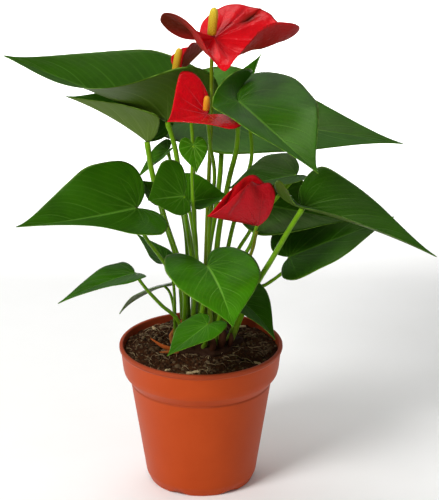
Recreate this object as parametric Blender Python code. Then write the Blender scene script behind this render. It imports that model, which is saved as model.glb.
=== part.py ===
"""Potted anthurium in a plain nursery pot, built in metres with +Z up.

The origin is the centre of the pot's base, on the surface that the pot stands on.
Tables hold millimetres and degrees; every mesh is scaled to metres as it is made.
"""

import math

import bmesh
import bpy
import numpy as np

MM = 0.001

# Pot: a turned plastic wall with a rolled lip and a collar, and a bevelled foot.
POT_RIM_RADIUS = 60.0
POT_HEIGHT = 107.0
POT_WALL = 1.6
POT_SIDES = 48
LIP_OVERHANG = 1.2
LIP_DEPTH = 3.0
LIP_ROUNDING = 0.8
COLLAR_RADIUS = 57.2
COLLAR_TURN = 90.0
COLLAR_FOOT = 83.0
COLLAR_FOOT_DROP = 5.0
STEP_RADIUS = 51.6
BASE_RADIUS = 40.3
BASE_TURN = 7.0
FOOT_RADIUS = 37.4
FLOOR_TOP = 3.1

# Drain holes go through the floor; a shallow scoop under the foot leads out from each.
DRAIN_HOLES = 6
DRAIN_RADIUS = 4.0
DRAIN_CIRCLE = 30.0
DRAIN_FIRST_ANGLE = 4.0
DRAIN_CUT_DEPTH = 10.0
SCOOP_RADIUS = 14.5
SCOOP_HEIGHT = 2.2
SCOOP_LENGTH = 16.0
SCOOP_CIRCLE = 36.0

# Soil: a plug that fills the pot to a few millimetres below the lip, slightly mounded.
SOIL_TOP = 101.5
SOIL_MOUND = 3.5
SOIL_LEVEL_RADIUS = 38.0
SOIL_GAP = 0.4
SOIL_EDGE_RADIUS = 56.0

# Crown: the short thick stem base that every leaf and flower stalk grows from.
CROWN_CENTRE = (2.0, 5.0)
CROWN_RADIUS = 26.0
CROWN_SIDES = 20
CROWN_BASE = SOIL_TOP + SOIL_MOUND + 0.3
CROWN_TOP = 109.0
CROWN_LEVELS = ((0.96, CROWN_BASE), (1.0, CROWN_BASE + 1.8), (0.97, CROWN_TOP))
CROWN_LUMPS = ((3, 0.05), (5, 0.04))
STALK_FOOT = CROWN_TOP + 1.5

BLADE_THICKNESS = 0.9
SPATHE_THICKNESS = 1.1
STALK_SIDES = 6
STALK_STEPS = 9
STALK_TAPER = 0.8
JOINT_GAP = 3.0
OUTLINE_STEPS = 12
HALF_STRIPS = 2
FAN_STRIPS = 3
MERGE_DISTANCE = 1e-6

# Half of a blade's outline: (lengths from the stalk joint, half widths from the midrib).
BLADE_OUTLINE = (
    (0.00, 0.00), (-0.45, 0.10), (-0.86, 0.26), (-1.00, 0.50), (-0.72, 0.80), (0.02, 0.985),
    (0.22, 0.94), (0.42, 0.72), (0.61, 0.46), (0.79, 0.21), (0.91, 0.07), (1.00, 0.00),
)


def blade(joint, heading, pitch, length, half, fold, tip_fold=None, lobe=(0.25, 0.25), lift=(0, 0),
          curl=(-10, -10), arch=0, sway=0, full=1.0, swing=0):
    """One blade's place and shape. Pairs are (left, right) as seen from the joint towards the tip."""
    half = half if isinstance(half, tuple) else (half, half)
    return dict(joint=joint, heading=heading, pitch=pitch, length=length, half=half, fold=fold,
                tip_fold=tip_fold or fold, lobe=lobe, lift=lift, curl=curl, arch=arch, sway=sway,
                full=full, swing=swing)


# Leaves. joint is where the stalk meets the blade, heading is counted from +X towards +Y,
# pitch is up, fold raises each half at the joint, tip_fold at the tip, lift adds to the lobes.
LEAVES = {
    "leaf_top_left": blade((-24, 8, 277), 168, 19, 129, (57, 60), (74, 34), (8, 34), (0.22, 0.20), (30, 0)),
    "leaf_upper_left": blade((-39, 23, 256), 166, 26, 68, (38, 45), (62, 35), (50, 35), (0.06, 0.15),
                             arch=3),
    "leaf_mid_left": blade((-45, -45, 231), 205, 1, 94, 44, (-3, 42), (20, 42), (0.12, 0.12),
                           arch=-2, full=0.9),
    "leaf_round": blade((-12, -55, 244), 205, 4, 28, (14, 28), (-50, 62), (-30, 60), (0.15, 0.15),
                        full=0.6),
    "leaf_olive": blade((-9, -26, 228), 19, 2, 31, 22, (60, 12), lobe=(0.05, 0.05), full=0.8),
    "leaf_centre_small": blade((-5, -40, 277), 281, -50, 21, (10, 11), (12, 8), lobe=(0.3, 0.3), full=0.9),
    "leaf_upper_right": blade((27, -30, 306), 303, -12, 104, (49, 24), (16, 12), (15, 20), (0.32, 0.40),
                              (0, 70), arch=6, sway=-6, full=0.68, swing=26),
    "leaf_back_right": blade((12, 78, 252), 353, -5, 139, 54, (34, 2), (20, -6), (0.3, 0.3), arch=2),
    "leaf_back_young": blade((33, 18, 289), 73, 33, 44, 16, (50, 75), arch=2),
    "leaf_behind_bud": blade((69, -8, 242), 199, -4, 53, (16, 25), (10, 30), lobe=(0.1, 0.1),
                             full=0.8),
    "leaf_right": blade((73, -40, 229), 342, -14, 103, 38, (41, 32), (20, 30), (0.08, 0.22), (0, 35),
                        arch=3),
    "leaf_right_shade": blade((45, 20, 208), 351, -8, 66, 32, (50, -15), lobe=(0.1, 0.2)),
    "leaf_lower_right": blade((65, 10, 171), 353, 25, 84, (30, 30), (42, -10), (25, -14), (0.15, 0.08),
                              full=0.7),
    "leaf_front_heart": blade((5, -55, 190), 287, -19, 66, 34, (15, 12), lobe=(0.35, 0.35), arch=5,
                              full=0.62),
    "leaf_front_small": blade((5, -60, 147), 226, -15, 43, 18, (10, 10), lobe=(0.2, 0.2), full=0.8),
    "leaf_front_right": blade((23, -45, 163), 321, -31, 46, 24, (20, 20), arch=4),
    "leaf_low_left": blade((-47, -55, 185), 209, -10, 63, 19, (15, 15), lobe=(0.04, 0.04), arch=2),
    "leaf_back_left": blade((-28, 20, 145), 149, -40, 50, 14, (10, -15), arch=4),
    "leaf_back_left_young": blade((-26, 15, 165), 138, 27, 33, 12, (20, 10), lobe=(0.05, 0.05)),
    "leaf_under_left": blade((-24, 36, 244), 192, -40, 31, 12, (20, 30), lobe=(0.2, 0.2)),
    "leaf_inner_left": blade((-29, -8, 221), 148, 37, 23, 13, (20, 30), lobe=(0.1, 0.1), full=0.7),
}

# Leaf stalks: foot on the crown (x, y), the points that each passes on its way up, and its radius.
LEAF_STALKS = {
    "leaf_top_left": ((-5, 14), ((-6, 5, 169), (-12, 4, 211), (-18, 6, 255)), 2.2),
    "leaf_upper_left": ((-12, 14), ((-16, 11, 162), (-26, 16, 197), (-35, 20, 231)), 2.4),
    "leaf_mid_left": ((-14, 0), ((-12, -16, 154), (-25, -32, 182), (-42, -45, 214)), 1.6),
    "leaf_round": ((-5, 7), ((-6, -18, 172), (-10, -42, 217)), 1.6),
    "leaf_olive": ((0, 0), ((-2, -12, 170), (-5, -24, 202)), 1.5),
    "leaf_centre_small": ((-7, 0), ((-3, -26, 185), (-5, -50, 230), (-6, -42, 255)), 1.5),
    "leaf_upper_right": ((9, 8), ((12, -5, 187), (20, -12, 238), (26, -20, 269)), 2.2),
    "leaf_back_right": ((5, 21), ((5, 18, 165), (12, 35, 206), (15, 62, 235)), 2.2),
    "leaf_back_young": ((9, 14), ((21, 4, 187), (33, 8, 232), (37, 10, 255)), 1.7),
    "leaf_behind_bud": ((16, 14), ((24, 2, 160), (36, -9, 188), (44, -14, 212)), 1.6),
    "leaf_right": ((21, 0), ((38, -22, 158), (51, -34, 187), (63, -40, 212)), 2.2),
    "leaf_right_shade": ((12, 21), ((23, 20, 162), (36, 22, 187)), 1.6),
    "leaf_lower_right": ((22, 8), ((32, 0, 145), (48, 4, 152), (62, 8, 162)), 1.5),
    "leaf_front_heart": ((-3, -7), ((4, -42, 171),), 1.8),
    "leaf_front_small": ((2, -13), ((7, -44, 138),), 1.3),
    "leaf_front_right": ((10, -8), ((15, -30, 148),), 1.5),
    "leaf_low_left": ((-12, -7), ((-17, -22, 135), (-28, -36, 152), (-39, -50, 171)), 1.5),
    "leaf_back_left": ((-19, 15), ((-20, 15, 128), (-23, 17, 140)), 1.2),
    "leaf_back_left_young": ((-19, 8), ((-20, 10, 149),), 1.2),
    "leaf_under_left": ((-9, 21), ((-11, 21, 182), (-19, 31, 222)), 1.4),
    "leaf_inner_left": ((-12, 7), ((-14, 1, 164), (-23, -5, 198)), 1.3),
}

# Flowers: the spathe is the coloured bract, the spadix the spike of tiny flowers on its joint.
SPATHES = {
    "flower_back": blade((-13, 18, 313), 50, 22, 29, (13, 23), (50, 58), lobe=(0.12, 0.12),
                         curl=(10, 20), full=0.7),
    "flower_mid": blade((5, -34, 298), 218, 5, 36, 37, (14, 52), (20, 50), lobe=(0.4, 0.2)),
    "flower_bud": blade((41, -48, 219), 207, 20, 43, 34, (60, 70), lobe=(0.1, 0.1), curl=(60, 20),
                        full=0.6),
}

# The open top spathe is a fan from its joint to a rim with two swept-out ears.
TOP_SPATHE_JOINT = (10, -27, 353)
TOP_SPATHE_SAG = 6.0
TOP_SPATHE_RIM = (
    (18, -62, 341), (8, -50, 349), (-1, -42, 356), (-12, -48, 360), (-22, -52, 366), (-28, -54, 376),
    (-23, -46, 379), (-11, -36, 370), (-2, -20, 356), (4, -6, 361), (13, 2, 365), (23, 8, 366),
    (33, 8, 365), (41, 4, 364), (54, -4, 358), (68, -14, 359), (70, -22, 354), (64, -28, 348),
    (45, -36, 347), (32, -46, 346), (25, -54, 346),
)

# Spadix: foot, tip and radius. Flower stalk: foot on the crown, points passed, end, radius.
SPADICES = {
    "flower_top": ((8, -27, 356), (10, -27, 376), 3.4),
    "flower_back": ((-18, 13, 315), (-15, 15, 331), 2.9),
    "flower_mid": ((4, -37, 303), (5, -39, 314), 2.4),
    "flower_bud": ((41, -48, 233), (31, -52, 240), 1.6),
}
FLOWER_STALKS = {
    "flower_top": ((2, 7), ((4, 0, 181), (6, -2, 241), (8, -12, 293), (8, -22, 333)), (9, -26, 349),
                   1.7),
    "flower_back": ((-2, 21), ((-4, 15, 176), (-5, 11, 233), (-7, 8, 279)), (-14, 14, 308), 1.6),
    "flower_mid": ((7, 0), ((6, -7, 193), (10, -9, 241), (7, -22, 270)), (5, -31, 294), 1.6),
    "flower_bud": ((14, 0), ((23, -16, 158), (36, -36, 192)), (40, -47, 214), 1.5),
}

# Loose and dry pieces round the crown: points along each and its radius at those points.
SCRAPS = {
    "dry_sheath_upright": (((-16, -8, 111.5), (-18, -9, 119), (-15, -9, 131)), (2.6, 2.2, 0.5)),
    "dry_sheath_lying": (((-19, -17, 107.5), (-28, -16, 110), (-37, -12, 116)), (1.8, 1.5, 0.4)),
    "resting_bud": (((14, -12, 112), (16, -12, 118), (15, -11, 127)), (3.0, 2.6, 0.5)),
}

# Share of the way up a spadix, and its radius there as a share of the fullest.
SPADIX_PROFILE = ((0.0, 0.95), (0.3, 1.0), (0.6, 0.92), (0.85, 0.75), (0.95, 0.5), (1.0, 0.2))

# Base colour and roughness of each plain material.
FINISHES = {
    "pot": ((0.60, 0.13, 0.05), 0.45),
    "soil": ((0.045, 0.022, 0.014), 0.95),
    "crown": ((0.12, 0.06, 0.03), 0.9),
    "leaf": ((0.05, 0.16, 0.02), 0.35),
    "stalk": ((0.18, 0.36, 0.03), 0.4),
    "spathe": ((0.72, 0.01, 0.02), 0.25),
    "spadix": ((0.70, 0.50, 0.06), 0.6),
    "sheath": ((0.42, 0.11, 0.03), 0.8),
}


def clear_scene():
    for item in list(bpy.data.objects):
        bpy.data.objects.remove(item)


def plain_material(name, finish):
    """One material per object, with the finish of what that object is made of."""
    colour, roughness = FINISHES[finish]
    material = bpy.data.materials.new(name)
    material.use_nodes = True
    surface = material.node_tree.nodes["Principled BSDF"]
    surface.inputs["Base Color"].default_value = (*colour, 1.0)
    surface.inputs["Roughness"].default_value = roughness
    surface.inputs["Metallic"].default_value = 0.0
    return material


def add_object(name, points, faces, finish):
    """A smooth-shaded mesh object from points in millimetres; points that coincide are merged."""
    mesh = bpy.data.meshes.new(name)
    mesh.from_pydata((np.asarray(points, float) * MM).tolist(), [], faces)
    item = bpy.data.objects.new(name, mesh)
    bpy.context.scene.collection.objects.link(item)
    shell = bmesh.new()
    shell.from_mesh(mesh)
    bmesh.ops.remove_doubles(shell, verts=shell.verts, dist=MERGE_DISTANCE)
    bmesh.ops.recalc_face_normals(shell, faces=shell.faces)
    shell.to_mesh(mesh)
    shell.free()
    mesh.materials.append(plain_material(name, finish))
    mesh.shade_smooth()
    return item


def catmull_rom(points, count):
    """count points spread evenly by index along the smooth curve through the given points."""
    points = np.asarray(points, float)
    padded = np.vstack([2 * points[0] - points[1], points, 2 * points[-1] - points[-2]])
    place = np.linspace(0, len(points) - 1, count)
    index = np.minimum(place.astype(int), len(points) - 2)
    t = (place - index)[:, None]
    a, b, c, d = (padded[index + step] for step in range(4))
    linear, square = c - a, 2 * a - 5 * b + 4 * c - d
    cube = 3 * b - a - 3 * c + d
    return 0.5 * (2 * b + linear * t + square * t**2 + cube * t**3)


def half_outline(lobe, full):
    """The shared outline with its lobes scaled to this blade, and its tip made fuller or finer."""
    points = np.array(BLADE_OUTLINE)
    behind = points[:, 0] < 0
    points[behind, 0] *= lobe
    points[~behind, 0] **= full
    return catmull_rom(points, OUTLINE_STEPS)


def blade_frame(spec):
    """Unit vectors of a blade: along its midrib, to its left, and out of its upper face."""
    heading, pitch = math.radians(spec["heading"]), math.radians(spec["pitch"])
    level = np.array([math.cos(heading), math.sin(heading), 0.0])
    along = math.cos(pitch) * level + np.array([0.0, 0.0, math.sin(pitch)])
    left = np.array([-level[1], level[0], 0.0])
    return along, left, np.cross(along, left)


def midrib(spec, x):
    """Straight from joint to tip, plus an arch and a sway that are zero at both ends."""
    along, left, up = blade_frame(spec)
    bow = np.where(x > 0, 4 * x * (1 - x), 4 * x)[..., None]
    straight = np.array(spec["joint"]) + x[..., None] * spec["length"] * along
    return straight + bow * (spec["arch"] * up + spec["sway"] * left)


def blade_half(spec, x, y, side):
    """Points of one half. Each cross-section is an arc that leaves the midrib at the fold angle."""
    _, left, up = blade_frame(spec)
    pick = 0 if side > 0 else 1
    back = np.clip(-x / spec["lobe"][pick], 0, 1)
    root, tip = spec["fold"][pick], spec["tip_fold"][pick]
    fold = tip + (root - tip) * (1 - np.clip(x, 0, 1)) ** 2
    start = np.radians(fold + spec["lift"][pick] * back)
    turn = np.radians(spec["curl"][pick]) * y + 1e-9
    reach = y * spec["half"][pick] / turn
    across = reach * (np.sin(start + turn) - np.sin(start))
    height = reach * (np.cos(start) - np.cos(start + turn))
    swing = np.array([spec["swing"] if side < 0 else 0, 0, 0]) * (back**1.5)[..., None]
    return midrib(spec, x) + left * (side * across)[..., None] + up * height[..., None] + swing


def blade_points(spec):
    """A grid of points: rows run from the sinus round the lobe to the tip, columns left to right."""
    halves = []
    for side, lobe in ((1, spec["lobe"][0]), (-1, spec["lobe"][1])):
        x, y = half_outline(lobe, spec["full"]).T
        share = np.linspace(0, 1, HALF_STRIPS + 1)
        grid_x = np.where(x[:, None] < 0, x[:, None] * share, x[:, None])
        halves.append(blade_half(spec, grid_x, y[:, None] * share, side))
    left, right = halves
    return np.concatenate([left[:, ::-1], right[:, 1:]], axis=1)


def grid_faces(rows, columns):
    corner = np.arange(rows * columns).reshape(rows, columns)
    quads = np.stack([corner[:-1, :-1], corner[:-1, 1:], corner[1:, 1:], corner[1:, :-1]], -1)
    return quads.reshape(-1, 4).tolist()


def add_sheet(name, points, thickness, finish):
    """A grid of points thickened evenly to both sides of the surface that they make."""
    rows, columns, _ = points.shape
    item = add_object(name, points.reshape(-1, 3), grid_faces(rows, columns), finish)
    wall = item.modifiers.new("thickness", "SOLIDIFY")
    wall.thickness = thickness * MM
    wall.offset = 0.0


def ring_frames(path):
    """Two unit vectors across the path at each point, carried along it without twisting."""
    tangent = np.gradient(path, axis=0)
    tangent /= np.linalg.norm(tangent, axis=1)[:, None]
    side = np.cross(tangent[0], (0.3, 1.0, 0.2))
    frames = []
    for direction in tangent:
        side = side - direction * (side @ direction)
        side /= np.linalg.norm(side)
        frames.append((side, np.cross(direction, side)))
    return frames


def ring_faces(rings, sides):
    """Quads between equal rings of points laid end to end, and a cap at each end."""
    faces = []
    for ring in range(rings - 1):
        for step in range(sides):
            near, far = ring * sides + step, ring * sides + (step + 1) % sides
            faces.append((near, far, far + sides, near + sides))
    faces.append(tuple(range(sides))[::-1])
    faces.append(tuple(range((rings - 1) * sides, rings * sides)))
    return faces


def circle_angles(sides):
    return np.arange(sides) * 2 * math.pi / sides


def add_tube(name, path, radii, finish, sides=STALK_SIDES):
    """A closed round bar along a path, with a radius for each of its points."""
    cosine, sine = np.cos(circle_angles(sides))[:, None], np.sin(circle_angles(sides))[:, None]
    rings = [
        centre + radius * (cosine * across + sine * over)
        for centre, radius, (across, over) in zip(path, radii, ring_frames(path))
    ]
    add_object(name, np.concatenate(rings), ring_faces(len(rings), sides), finish)


def add_stalk(name, foot, passed, end, radius):
    """A stalk from the crown to just short of the piece that it carries, slimmer towards its end."""
    points = np.array([(*foot, STALK_FOOT), *passed, end], float)
    last = points[-1] - points[-2]
    points[-1] -= last / np.linalg.norm(last) * JOINT_GAP
    path = catmull_rom(points, STALK_STEPS)
    add_tube(name, path, np.linspace(radius, STALK_TAPER * radius, STALK_STEPS), "stalk")


def add_spadix(name, foot, tip, radius):
    """A spike with a rounded end."""
    share, taper = np.array(SPADIX_PROFILE).T
    foot, tip = np.array(foot, float), np.array(tip, float)
    add_tube(name, foot + share[:, None] * (tip - foot), radius * taper, "spadix", 2 * STALK_SIDES)


def top_spathe_points():
    """Strips from the joint to the rim, sagging between the two like a shallow dish."""
    rim = np.array(TOP_SPATHE_RIM + TOP_SPATHE_RIM[:1], float)
    joint = np.array(TOP_SPATHE_JOINT, float)
    share = np.linspace(0, 1, FAN_STRIPS + 1)[:, None, None]
    sag = 4 * share * (1 - share) * np.array([0, 0, TOP_SPATHE_SAG])
    return joint + share * (rim - joint) - sag


def turned(name, profile, finish):
    """A solid turned about Z from (radius, height) points that start and end on the axis."""
    angle = np.append(circle_angles(POT_SIDES), 0.0)
    radius, height = (np.array(profile, float)[:, column, None] for column in (0, 1))
    points = np.stack([radius * np.cos(angle), radius * np.sin(angle), height + 0 * angle], -1)
    return add_object(name, points.reshape(-1, 3), grid_faces(len(profile), POT_SIDES + 1), finish)


def pot_outside():
    """From the floor's centre out to the foot and up to the lip."""
    return [
        (0, 0), (FOOT_RADIUS - LIP_ROUNDING, 0), (FOOT_RADIUS, LIP_ROUNDING),
        (BASE_RADIUS, BASE_TURN), (STEP_RADIUS, COLLAR_FOOT - COLLAR_FOOT_DROP),
        (STEP_RADIUS + LIP_ROUNDING, COLLAR_FOOT - LIP_ROUNDING),
        (COLLAR_RADIUS - LIP_OVERHANG, (COLLAR_FOOT + COLLAR_TURN) / 2),
        (COLLAR_RADIUS, COLLAR_TURN), (POT_RIM_RADIUS - LIP_OVERHANG, POT_HEIGHT - LIP_DEPTH - 1),
        (POT_RIM_RADIUS, POT_HEIGHT - LIP_DEPTH), (POT_RIM_RADIUS, POT_HEIGHT - LIP_ROUNDING),
        (POT_RIM_RADIUS - LIP_ROUNDING, POT_HEIGHT),
    ]


def pot_inside():
    """The wall's inner face from the lip down to the floor's centre."""
    return [
        (POT_RIM_RADIUS - LIP_OVERHANG - POT_WALL, POT_HEIGHT),
        (COLLAR_RADIUS - POT_WALL, COLLAR_TURN),
        (STEP_RADIUS - POT_WALL, COLLAR_FOOT - COLLAR_FOOT_DROP + 1),
        (BASE_RADIUS - POT_WALL, BASE_TURN), (FOOT_RADIUS - POT_WALL, FLOOR_TOP), (0, FLOOR_TOP),
    ]


def cut_cylinder(item, name, radius, depth, place, turn):
    """Cuts a cylinder from item; place is its centre and turn the way that its axis points."""
    bpy.ops.mesh.primitive_cylinder_add(
        vertices=24, radius=radius * MM, depth=depth * MM, rotation=turn,
        location=[value * MM for value in place],
    )
    cutter = bpy.context.object
    cutter.name = name
    cutter.hide_render = True
    cutter.display_type = "WIRE"
    item.modifiers.new(name, "BOOLEAN").object = cutter


def add_pot():
    pot = turned("pot", pot_outside() + pot_inside(), "pot")
    for hole in range(DRAIN_HOLES):
        angle = math.radians(DRAIN_FIRST_ANGLE) + hole * 2 * math.pi / DRAIN_HOLES
        out = np.array([math.cos(angle), math.sin(angle), 0.0])
        scoop = SCOOP_CIRCLE * out + (0, 0, SCOOP_HEIGHT - SCOOP_RADIUS)
        cut_cylinder(pot, f"drain_cutter_{hole}", DRAIN_RADIUS, DRAIN_CUT_DEPTH,
                     DRAIN_CIRCLE * out, (0, 0, 0))
        cut_cylinder(pot, f"scoop_cutter_{hole}", SCOOP_RADIUS, SCOOP_LENGTH,
                     scoop, (0, math.pi / 2, angle))


def add_soil():
    """The plug keeps a small gap to the wall; its top is level under the crown and slopes to the wall."""
    _, collar, step, base, floor, _ = [(radius - SOIL_GAP, height) for radius, height in pot_inside()]
    profile = [(0, FLOOR_TOP + SOIL_GAP), (floor[0], FLOOR_TOP + SOIL_GAP), base, step, collar]
    profile += [(SOIL_EDGE_RADIUS, SOIL_TOP), (SOIL_LEVEL_RADIUS, SOIL_TOP + SOIL_MOUND)]
    turned("potting_soil", profile + [(0, SOIL_TOP + SOIL_MOUND)], "soil")


def add_crown():
    """A low lumpy mound that rests on the soil, with a level top for the stalks."""
    angle = circle_angles(CROWN_SIDES)
    lump = 1 + sum(size * np.sin(count * angle) for count, size in CROWN_LUMPS)
    rings = []
    for scale, height in CROWN_LEVELS:
        radius = CROWN_RADIUS * scale * lump
        x, y = CROWN_CENTRE[0] + radius * np.cos(angle), CROWN_CENTRE[1] + radius * np.sin(angle)
        rings.append(np.stack([x, y, height + 0 * angle], -1))
    add_object("crown", np.concatenate(rings), ring_faces(len(rings), CROWN_SIDES), "crown")


def main():
    clear_scene()
    add_pot()
    add_soil()
    add_crown()
    for name, spec in LEAVES.items():
        foot, passed, radius = LEAF_STALKS[name]
        add_sheet(name, blade_points(spec), BLADE_THICKNESS, "leaf")
        add_stalk(name.replace("leaf", "stalk", 1), foot, passed, spec["joint"], radius)
    add_sheet("flower_top_spathe", top_spathe_points(), SPATHE_THICKNESS, "spathe")
    for name, spec in SPATHES.items():
        add_sheet(name + "_spathe", blade_points(spec), SPATHE_THICKNESS, "spathe")
    for name, (foot, tip, radius) in SPADICES.items():
        add_spadix(name + "_spadix", foot, tip, radius)
    for name, (foot, passed, end, radius) in FLOWER_STALKS.items():
        add_stalk(name + "_stalk", foot, passed, end, radius)
    for name, (points, radii) in SCRAPS.items():
        add_tube(name, np.array(points, float), radii, "sheath")


main()
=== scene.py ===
"""The looks of a potted anthurium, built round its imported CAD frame.

Each cell adds one piece or one finish. Shapes are worked out in millimetres as whole numpy
arrays and scaled to metres as they are put into their meshes.
"""

# %% [markdown]
# # A potted anthurium
# The CAD model gives every piece its place and its size: pot, soil, leaves, stalks and flowers.
# This script loads it, then builds a finer piece over each node. It reads the frame first,
# because every later piece rides on it.

# %% Load the frame
import math

import bmesh
import bpy
import numpy as np
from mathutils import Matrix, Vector


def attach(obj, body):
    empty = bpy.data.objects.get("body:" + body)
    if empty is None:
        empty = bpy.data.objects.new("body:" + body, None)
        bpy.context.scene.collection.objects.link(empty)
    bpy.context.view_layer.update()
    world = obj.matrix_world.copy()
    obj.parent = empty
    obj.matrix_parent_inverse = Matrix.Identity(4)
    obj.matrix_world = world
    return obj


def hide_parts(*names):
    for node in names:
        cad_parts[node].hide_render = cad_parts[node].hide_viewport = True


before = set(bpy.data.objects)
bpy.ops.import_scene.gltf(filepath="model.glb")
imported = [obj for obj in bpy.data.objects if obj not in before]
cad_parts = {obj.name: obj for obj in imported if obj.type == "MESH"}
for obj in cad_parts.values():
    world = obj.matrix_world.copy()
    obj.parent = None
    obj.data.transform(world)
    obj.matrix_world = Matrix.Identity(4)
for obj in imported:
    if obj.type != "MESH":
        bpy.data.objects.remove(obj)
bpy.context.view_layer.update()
MM = 0.001
print("frame loaded:", len(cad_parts), "nodes")

# %% [markdown]
# ## From an array to a piece
# Every shape below is a grid of points: rows run one way over the surface and columns the
# other. A closed shape is a grid whose first and last columns meet, and whose first and last
# rows each shrink to a point or a line. Points that coincide are merged, which closes the seam,
# and the faces are then turned to point outwards. The grid's two parameters are kept as a UV
# map, so that a finish can follow the surface, and other facts are kept as attributes.

# %% A grid of points made into a mesh
MERGE_DISTANCE = 2e-6  # metres: points this near are one point


def grid_quads(rows, columns):
    """Faces between neighbouring points of a grid, as indices into its flattened points."""
    corner = np.arange(rows * columns).reshape(rows, columns)
    quads = np.stack([corner[:-1, :-1], corner[:-1, 1:], corner[1:, 1:], corner[1:, :-1]], -1)
    return quads.reshape(-1, 4)


def even_grid(rows, columns):
    """Two numbers for each point of a grid, both evenly spaced from 0 to 1: row and column."""
    return np.stack(np.meshgrid(np.linspace(0, 1, rows), np.linspace(0, 1, columns), indexing="ij"), -1)


def shell(points, uv=None, **facts):
    """One surface: its points in mm, its faces, its UV map and any facts about each point."""
    rows, columns, _ = points.shape
    uv = even_grid(rows, columns) if uv is None else uv
    facts = {name: np.broadcast_to(value, (rows, columns)).ravel() for name, value in facts.items()}
    return {"points": points.reshape(-1, 3), "faces": grid_quads(rows, columns),
            "uv": uv.reshape(-1, 2), "facts": facts}


def joined(shells):
    """Several shells as one, with their face indices shifted past each other's points."""
    starts = np.cumsum([0] + [len(item["points"]) for item in shells[:-1]])
    names = sorted({name for item in shells for name in item["facts"]})
    facts = {name: np.concatenate([item["facts"].get(name, np.zeros(len(item["points"])))
                                   for item in shells]) for name in names}
    return {"points": np.concatenate([item["points"] for item in shells]),
            "faces": np.concatenate([item["faces"] + start for item, start in zip(shells, starts)]),
            "uv": np.concatenate([item["uv"] for item in shells]), "facts": facts}


def add_piece(name, item, material, slot, *nodes):
    """Puts a shell into a smooth mesh object that rides on the frame and stands for CAD nodes."""
    mesh = bpy.data.meshes.new(name)
    mesh.from_pydata((item["points"] * MM).tolist(), [], item["faces"].tolist())
    corners = np.empty(len(mesh.loops), np.int32)
    mesh.loops.foreach_get("vertex_index", corners)
    corner_uv = item["uv"][corners].astype(np.float32)
    mesh.uv_layers.new(name="UVMap").data.foreach_set("uv", corner_uv.ravel())
    for fact, values in item["facts"].items():
        mesh.attributes.new(fact, "FLOAT", "POINT").data.foreach_set("value", values.astype(np.float32))
    work = bmesh.new()
    work.from_mesh(mesh)
    bmesh.ops.remove_doubles(work, verts=work.verts, dist=MERGE_DISTANCE)
    bmesh.ops.recalc_face_normals(work, faces=work.faces)
    work.to_mesh(mesh)
    work.free()
    mesh.shade_smooth()
    mesh.materials.append(material)
    piece = bpy.data.objects.new(name, mesh)
    bpy.context.scene.collection.objects.link(piece)
    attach(piece, "root")
    if nodes:
        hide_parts(*nodes)
    return piece


# %% [markdown]
# ## Curves, lengths and soft noise
# A stalk, a leaf's outline and a flower's rim are all smooth curves through a few points, so one
# curve function serves them all. The soil and the crown need an even, repeatable roughness. A
# sum of waves in random directions gives it with no texture file, and a fixed seed repeats it.


# %% Helpers for curves and roughness
def unit(vectors):
    """Vectors divided by their lengths."""
    return vectors / np.maximum(np.linalg.norm(vectors, axis=-1, keepdims=True), 1e-9)


def catmull_rom(points, count, closed=False):
    """count points along the smooth curve through the given ones: each span is the cubic whose
    end slopes are half the difference of the neighbouring points."""
    points = np.asarray(points, float)
    if closed:
        padded = np.concatenate([points[-1:], points, points[:2]])
        spans = len(points)
    else:
        padded = np.concatenate([2 * points[:1] - points[1:2], points, 2 * points[-1:] - points[-2:-1]])
        spans = len(points) - 1
    place = np.linspace(0, spans, count)
    index = np.minimum(place.astype(int), spans - 1)
    t = (place - index).reshape(-1, *[1] * (points.ndim - 1))
    a, b, c, d = (padded[index + step] for step in range(4))
    return 0.5 * (2 * b + (c - a) * t + (2 * a - 5 * b + 4 * c - d) * t**2
                  + (3 * b - a - 3 * c + d) * t**3)


def waves(points, size, seed, count=24):
    """Roughness from -1 to 1: the mean of sine waves of about the given length in mm, each in
    its own random direction."""
    rng = np.random.default_rng(seed)
    directions = unit(rng.normal(size=(count, 3))) * (2 * math.pi / size)
    directions = directions * rng.uniform(0.6, 1.7, (count, 1))
    phase = rng.uniform(0, 2 * math.pi, count)
    return np.sin(points @ directions.T + phase).sum(-1) / math.sqrt(count)


def bell(place, middle, width):
    """A smooth bump: 1 at the middle, and e to the minus one a width away."""
    return np.exp(-(((place - middle) / width) ** 2))


# %% [markdown]
# ## Colours and shader nodes
# Colours are written as the sRGB hex values that a paint or screen chart gives, and Blender
# works in linear light, so one function converts them. One more adds any shader node with its
# settings, and fills its inputs with numbers, hex colours or other nodes' outputs. A pattern
# that several finishes share, such as cloudy noise or a fan of veins, has its own function.


# %% Helpers for materials
# Settings that a kind of node always has here, and its output where that isn't the first one.
USUAL_SETTINGS = {"Mix": {"data_type": "RGBA"}, "MapRange": {"interpolation_type": "SMOOTHSTEP"}}
OUTPUT_IN_USE = {"Mix": 2, "Attribute": "Fac", "TexCoord": "Object"}
MATERIALS = {}


def linear(hex_colour):
    """sRGB hex to linear: each channel is lifted by the standard curve with exponent 2.4."""
    channels = np.array([int(hex_colour[i:i + 2], 16) for i in (1, 3, 5)]) / 255
    low, high = channels / 12.92, ((channels + 0.055) / 1.055) ** 2.4
    return (*np.where(channels <= 0.04045, low, high), 1.0)


def fill(tree, socket, value):
    """Links a node's output to a socket, or sets the socket to a number, vector or hex colour."""
    if isinstance(value, bpy.types.NodeSocket):
        tree.links.new(value, socket)
    else:
        socket.default_value = linear(value) if isinstance(value, str) else value


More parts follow.
